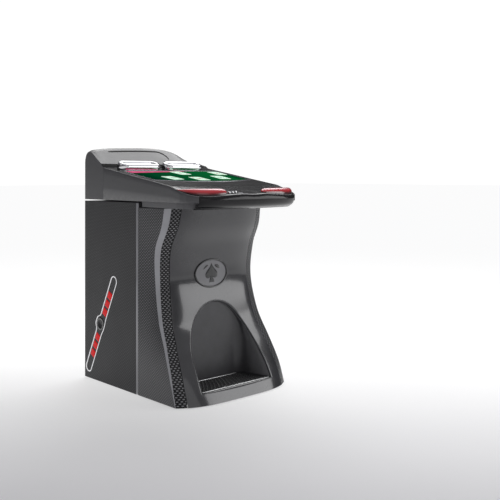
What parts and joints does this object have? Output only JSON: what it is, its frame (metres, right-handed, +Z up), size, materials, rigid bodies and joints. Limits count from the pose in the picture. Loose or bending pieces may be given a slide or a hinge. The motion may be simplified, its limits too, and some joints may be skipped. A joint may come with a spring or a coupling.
{
  "type": "video poker machine",
  "caption": "Slant-top video card-game terminal: flat touch display in a tilting console on a floor cabinet with an arched foot niche and a rear service door.",
  "frame": {"origin": "on the floor under the centre of the machine's bounding box", "axes": "+Z up, front (player side) towards -Y, +X to the player's right"},
  "size_m": [0.5646, 0.768, 0.981],
  "materials": {
    "carbon_body": "satin",
    "grey_moulding": "satin",
    "gunmetal_gloss": "gloss",
    "sheet_steel": "satin",
    "black_plastic": "satin",
    "chrome": "polished",
    "red_lens": "gloss",
    "white_rim": "gloss",
    "rubber": "matte",
    "screen_glass": "gloss",
    "gloss_black": "gloss"
  },
  "bodies": {
    "cabinet": {"console_hinge": "sheet_steel", "door_hinge_lower": "sheet_steel", "door_hinge_upper": "sheet_steel", "drawer_runner_left": "sheet_steel", "drawer_runner_right": "sheet_steel", "emblem_badge": "gunmetal_gloss", "foot_grille": "black_plastic", "foot_tray": "black_plastic", "front_floor": "sheet_steel", "front_left_foot": "rubber", "front_right_foot": "rubber", "front_top_frame": "sheet_steel", "knee_panel": "gunmetal_gloss", "left_front_cheek": "carbon_body", "left_inlay_boss": "black_plastic", "left_inlay_lenses": "red_lens", "left_inlay_rim": "white_rim", "left_rear_side": "carbon_body", "logic_box": "sheet_steel", "module_divider": "sheet_steel", "niche_liner": "black_plastic", "power_inlet": "black_plastic", "power_supply": "sheet_steel", "rear_floor": "sheet_steel", "rear_left_foot": "rubber", "rear_panel": "carbon_body", "rear_right_foot": "rubber", "rear_top_frame": "sheet_steel", "right_front_cheek": "carbon_body", "right_inlay_boss": "black_plastic", "right_inlay_lenses": "red_lens", "right_inlay_rim": "white_rim", "right_rear_side": "carbon_body"},
    "service_door": {"service_door": "carbon_body", "fan_frame": "black_plastic"},
    "door_lock": {"door_lock": "chrome"},
    "fan_rotor": {"fan_rotor": "black_plastic"},
    "cash_drawer": {"cash_drawer": "sheet_steel"},
    "drawer_lock": {"drawer_lock": "chrome"},
    "power_rocker": {"power_rocker": "red_lens"},
    "console": {"console_left_wall": "carbon_body", "console_right_wall": "carbon_body", "hump_cover": "grey_moulding", "hump_strip": "black_plastic", "console_pan": "sheet_steel", "deck_frame": "black_plastic", "display_glass": "screen_glass", "display_panel": "black_plastic", "ticket_bezel": "chrome", "bill_bezel": "chrome", "ticket_printer": "sheet_steel", "bill_validator": "sheet_steel", "nose_moulding": "gloss_black", "armrest_light_left": "red_lens", "armrest_light_right": "red_lens"},
    "nose_lock": {"nose_lock": "chrome"},
    "push_button_1": {"push_button_1": "chrome"},
    "push_button_2": {"push_button_2": "chrome"},
    "push_button_3": {"push_button_3": "chrome"}
  },
  "joints": [
    {"name": "console_tilt", "type": "hinge", "parent": "cabinet", "child": "console", "pos_m": [0, 0.3788, 0.755], "axis": [1, 0, 0], "range_deg": [-30, 0]},
    {"name": "nose_lock_turn", "type": "hinge", "parent": "console", "child": "nose_lock", "pos_m": [-0.056, -0.36065, 0.78], "axis": [0, 0, 1], "range_deg": [0, 90]},
    {"name": "service_door_swing", "type": "hinge", "parent": "cabinet", "child": "service_door", "pos_m": [0.19425, 0.3785, 0.45], "axis": [0, 0, 1], "range_deg": [-110, 0]},
    {"name": "door_lock_turn", "type": "hinge", "parent": "service_door", "child": "door_lock", "pos_m": [-0.1715, 0.37, 0.5175], "axis": [0, 1, 0], "range_deg": [-90, 0]},
    {"name": "fan_spin", "type": "hinge", "parent": "service_door", "child": "fan_rotor", "pos_m": [0, 0.35, 0.5475], "axis": [0, 1, 0], "continuous": true},
    {"name": "cash_drawer_slide", "type": "slide", "parent": "cabinet", "child": "cash_drawer", "axis": [0, 1, 0], "range_m": [0, 0.24]},
    {"name": "drawer_lock_turn", "type": "hinge", "parent": "cash_drawer", "child": "drawer_lock", "pos_m": [0, 0.37, 0.194], "axis": [0, 1, 0], "range_deg": [-90, 0]},
    {"name": "power_switch_rock", "type": "hinge", "parent": "cabinet", "child": "power_rocker", "pos_m": [0.2215, 0.371, 0.098], "axis": [1, 0, 0], "range_deg": [0, 14]},
    {"name": "push_button_1_press", "type": "slide", "parent": "console", "child": "push_button_1", "axis": [0, 0, -1], "range_m": [0, 0.003], "stiffness_N_per_m": 300},
    {"name": "push_button_2_press", "type": "slide", "parent": "console", "child": "push_button_2", "axis": [0, 0, -1], "range_m": [0, 0.003], "stiffness_N_per_m": 300},
    {"name": "push_button_3_press", "type": "slide", "parent": "console", "child": "push_button_3", "axis": [0, 0, -1], "range_m": [0, 0.003], "stiffness_N_per_m": 300}
  ]
}
